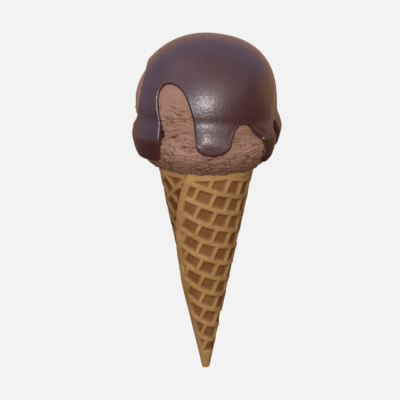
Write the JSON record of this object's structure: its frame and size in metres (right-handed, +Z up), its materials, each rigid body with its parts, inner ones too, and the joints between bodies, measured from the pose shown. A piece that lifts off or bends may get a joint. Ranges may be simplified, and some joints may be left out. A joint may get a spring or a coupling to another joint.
{
  "type": "ice cream cone",
  "caption": "Rolled waffle cone with a scoop of chocolate ice cream under a poured chocolate coating that runs down in drips, lying on its back.",
  "frame": {"origin": "centre of the bottom of the bounding box, on the surface that the cone lies on", "axes": "+Z up, +Y along the cone from its tip towards the scoop (the cone's axis rises 14.4 degrees towards +Y), +X to the right seen from above with the scoop away from the viewer"},
  "size_m": [0.069, 0.164, 0.0665],
  "materials": {
    "wafer": "baked golden brown, matt with a fine open crumb",
    "ice_cream": "churned chocolate ice cream, damp and softly matt",
    "chocolate": "set chocolate coating, satin"
  },
  "bodies": {
    "root": {"wafer_cone": "wafer", "ice_cream": "ice_cream", "chocolate_coat": "chocolate"}
  },
  "joints": []
}
